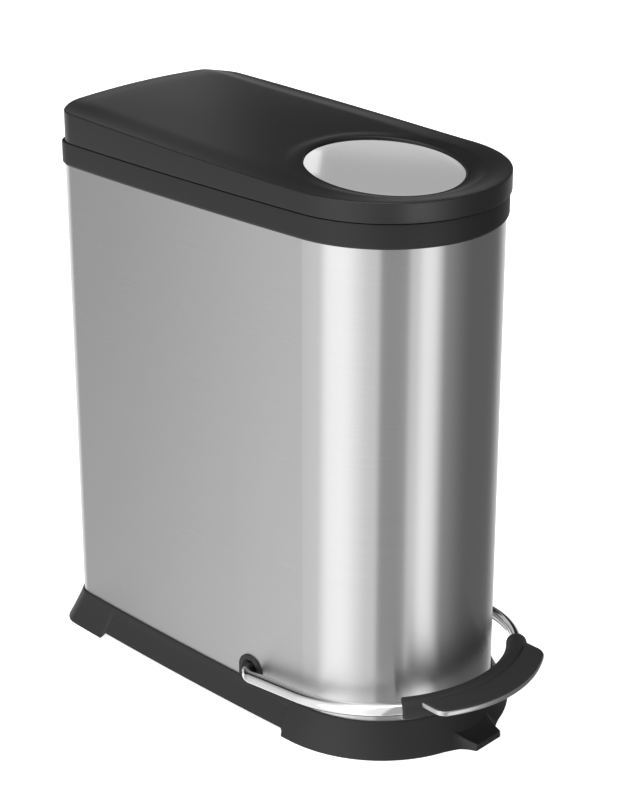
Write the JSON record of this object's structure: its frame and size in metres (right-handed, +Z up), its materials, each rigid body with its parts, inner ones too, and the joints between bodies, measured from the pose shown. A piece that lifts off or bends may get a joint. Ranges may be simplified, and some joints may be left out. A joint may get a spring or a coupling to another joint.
{
  "type": "dual compartment pedal bin",
  "caption": "Slim D-shaped pedal bin: brushed steel body, black rim, base and hinged lid with steel disc, bent-tube pedal, lift rod and lift-out inner buckets.",
  "frame": {"origin": "bottom centre of the bounding box, on the floor", "axes": "+Z up, -Y towards the pedal and the round front, +Y towards the hinge, +X to the right hand of somebody who looks along +Y"},
  "size_m": [0.297, 0.5796, 0.6333],
  "materials": {
    "brushed_body": "brushed round the body, fine grain",
    "disc_steel": "satin, spun grain",
    "tread_steel": "satin",
    "plain_steel": "plain zinc plated",
    "screw_steel": "plated",
    "bright_tube": "polished",
    "lid_plastic": "fine satin grain",
    "rim_plastic": "fine satin grain",
    "base_plastic": "fine satin grain",
    "bush_plastic": "smooth",
    "inner_plastic": "plain moulded",
    "bucket_plastic": "plain moulded",
    "sleeve_rubber": "fine matt grain",
    "tread_rubber": "fine matt grain",
    "foot_rubber": "plain"
  },
  "bodies": {
    "bin_body": {"body_shell": "brushed_body", "seam_strip": "plain_steel", "base_moulding": "base_plastic", "floor_plate": "inner_plastic", "floor_screws": "screw_steel", "foot_pads": "foot_rubber", "pedal_bush_left": "bush_plastic", "pedal_bush_right": "bush_plastic", "top_rim": "rim_plastic", "hinge_pin": "plain_steel", "rod_cover": "inner_plastic", "rod_guide_lower": "bush_plastic", "rod_guide_upper": "bush_plastic"},
    "lid": {"lid_shell": "lid_plastic", "lid_disc": "disc_steel", "lid_liner": "inner_plastic", "liner_screws": "screw_steel", "lid_crank": "plain_steel", "crank_pin": "plain_steel", "crank_screws": "screw_steel", "lid_stops": "foot_rubber"},
    "pedal": {"pedal_bail": "bright_tube", "pedal_sleeve": "sleeve_rubber", "tread_plate": "tread_steel", "tread_pad": "tread_rubber", "tread_screws": "screw_steel", "lever_left": "plain_steel", "lever_right": "plain_steel", "lever_crossbar": "plain_steel", "lever_collars": "plain_steel"},
    "rod": {"rod_foot": "bush_plastic", "rod_head": "bush_plastic", "lift_rod": "plain_steel"},
    "front_bucket": {"bucket_front": "bucket_plastic"},
    "rear_bucket": {"bucket_rear": "bucket_plastic"}
  },
  "joints": [
    {"name": "lid_hinge", "type": "hinge", "parent": "bin_body", "child": "lid", "pos_m": [0, 0.28479, 0.5915], "axis": [-1, 0, 0], "range_deg": [0, 72]},
    {"name": "pedal_pivot", "type": "hinge", "parent": "bin_body", "child": "pedal", "pos_m": [0, -0.02571, 0.0495], "axis": [1, 0, 0], "range_deg": [0, 9.35]},
    {"name": "rod_slide", "type": "slide", "parent": "bin_body", "child": "rod", "axis": [0, 0, 1], "range_m": [0, 0.0448]},
    {"name": "front_bucket_lift", "type": "slide", "parent": "bin_body", "child": "front_bucket", "axis": [0, 0, 1], "range_m": [0, 0.008]},
    {"name": "rear_bucket_lift", "type": "slide", "parent": "bin_body", "child": "rear_bucket", "axis": [0, 0, 1], "range_m": [0, 0.008]}
  ],
  "couplings": [
    {"joint": "pedal_pivot", "follows": "lid_hinge", "ratio": 0.12875},
    {"joint": "rod_slide", "follows": "lid_hinge", "m_per_rad": 0.035549}
  ]
}
